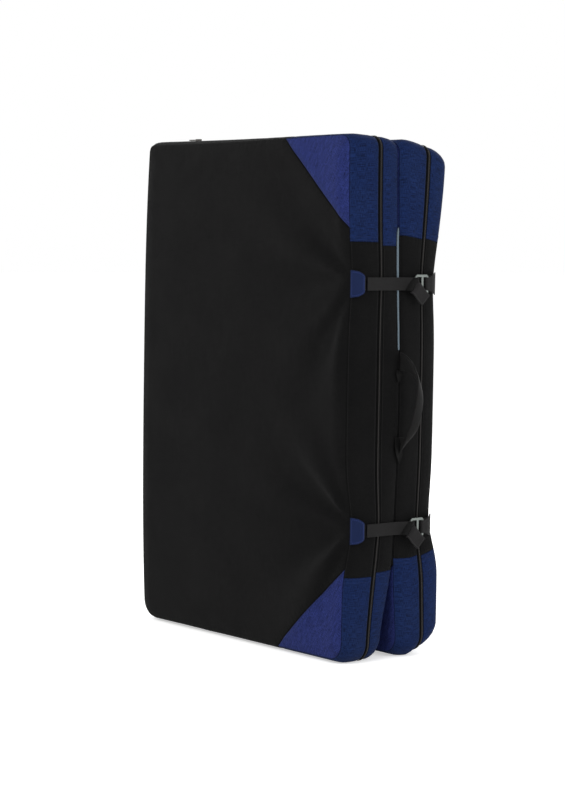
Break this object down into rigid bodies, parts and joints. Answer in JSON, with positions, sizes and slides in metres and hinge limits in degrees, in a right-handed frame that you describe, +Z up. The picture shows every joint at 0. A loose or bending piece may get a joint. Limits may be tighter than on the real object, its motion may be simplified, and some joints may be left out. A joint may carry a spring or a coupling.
{
  "type": "bouldering crash pad",
  "caption": "Folding bouldering crash pad, closed and standing on its short end, with zipped foam-filled halves, hooked closure straps, carry handle and back harness",
  "frame": {"origin": "Middle of the footprint's bounding box, on the floor that the folded pad stands on", "axes": "+Z up along the pad's long side; +X from the hinge edge to the strap edge; -Y is the outer face of the front half and +Y the face with the harness"},
  "size_m": [0.7376, 0.2824, 1.0231],
  "materials": {
    "black_shell": "matte black coated nylon",
    "landing_fabric": "matte dark landing fabric",
    "blue_wall": "dark blue flecked nylon",
    "blue_patch": "blue flecked nylon",
    "zip_tape": "black tape with a nylon coil",
    "zip_metal": "dark coated slider",
    "webbing": "black woven webbing",
    "edge_trim": "grey-blue ribbed binding",
    "padding": "black padded fabric",
    "hook_metal": "matte grey aluminium plate",
    "buckle_plastic": "moulded black acetal",
    "firm_foam": "closed-cell polyethylene foam",
    "soft_foam": "open-cell polyurethane foam"
  },
  "bodies": {
    "front_half": {"front_outer_panel": "black_shell", "front_outer_patch_top": "blue_patch", "front_outer_patch_bottom": "blue_patch", "front_landing_panel": "landing_fabric", "front_landing_patch_top": "blue_patch", "front_landing_patch_bottom": "blue_patch", "front_outer_wall_hinge_run": "black_shell", "front_outer_wall_middle": "black_shell", "front_outer_wall_wrap_top": "blue_wall", "front_outer_wall_wrap_bottom": "blue_wall", "front_inner_wall_hinge_run": "black_shell", "front_inner_wall_middle": "black_shell", "front_inner_wall_wrap_top": "blue_wall", "front_inner_wall_wrap_bottom": "blue_wall", "front_zip": "zip_tape", "front_foam_landing": "firm_foam", "front_foam_core": "soft_foam", "front_foam_base": "firm_foam", "edge_trim": "edge_trim", "hinge_fabric": "black_shell", "upper_strap_tab": "blue_patch", "lower_strap_tab": "blue_patch"},
    "back_half": {"back_outer_panel": "black_shell", "back_outer_patch_top": "blue_patch", "back_outer_patch_bottom": "blue_patch", "back_landing_panel": "landing_fabric", "back_landing_patch_top": "blue_patch", "back_landing_patch_bottom": "blue_patch", "back_outer_wall_hinge_run": "black_shell", "back_outer_wall_middle": "black_shell", "back_outer_wall_wrap_top": "blue_wall", "back_outer_wall_wrap_bottom": "blue_wall", "back_inner_wall_hinge_run": "black_shell", "back_inner_wall_middle": "black_shell", "back_inner_wall_wrap_top": "blue_wall", "back_inner_wall_wrap_bottom": "blue_wall", "back_zip": "zip_tape", "back_foam_landing": "firm_foam", "back_foam_core": "soft_foam", "back_foam_base": "firm_foam", "upper_loop_tab": "webbing", "lower_loop_tab": "webbing", "harness_yoke": "webbing", "shoulder_strap_left": "padding", "shoulder_strap_right": "padding", "adjuster_left": "buckle_plastic", "adjuster_right": "buckle_plastic", "lower_webbing_left": "webbing", "lower_webbing_right": "webbing"},
    "upper_closure": {"upper_strap": "webbing", "upper_hook": "hook_metal"},
    "lower_closure": {"lower_strap": "webbing", "lower_hook": "hook_metal"},
    "handle": {"carry_handle": "webbing"},
    "front_zip_runner": {"front_zip_slider": "zip_metal"},
    "back_zip_runner": {"back_zip_slider": "zip_metal"},
    "belt_left": {"belt_wing_left": "padding", "buckle_left": "buckle_plastic"},
    "belt_right": {"belt_wing_right": "padding", "buckle_right": "buckle_plastic"}
  },
  "joints": [
    {"name": "main_fold", "type": "hinge", "parent": "front_half", "child": "back_half", "pos_m": [-0.37079, -0.00593, 0.5], "axis": [0, 0, 1], "range_deg": [0, 180], "deforming": ["hinge_fabric"]},
    {"name": "upper_strap_lift", "type": "hinge", "parent": "front_half", "child": "upper_closure", "pos_m": [0.30518, -0.09383, 0.735], "axis": [1, 0, 0], "range_deg": [0, 30]},
    {"name": "lower_strap_lift", "type": "hinge", "parent": "front_half", "child": "lower_closure", "pos_m": [0.30505, -0.08383, 0.26], "axis": [1, 0, 0], "range_deg": [0, 30]},
    {"name": "handle_swing", "type": "hinge", "parent": "front_half", "child": "handle", "pos_m": [0.30617, -0.00593, 0.495], "axis": [0, 0, 1], "range_deg": [-50, 50]},
    {"name": "front_zip_slide", "type": "slide", "parent": "front_half", "child": "front_zip_runner", "axis": [1, 0, 0], "range_m": [0, 0.48]},
    {"name": "back_zip_slide", "type": "slide", "parent": "back_half", "child": "back_zip_runner", "axis": [1, 0, 0], "range_m": [0, 0.48]},
    {"name": "belt_left_swing", "type": "hinge", "parent": "back_half", "child": "belt_left", "pos_m": [-0.26379, 0.12624, 0.14], "axis": [0, 0, 1], "range_deg": [0, 100]},
    {"name": "belt_right_swing", "type": "hinge", "parent": "back_half", "child": "belt_right", "pos_m": [0.19421, 0.11997, 0.14], "axis": [0, 0, -1], "range_deg": [0, 100]}
  ]
}
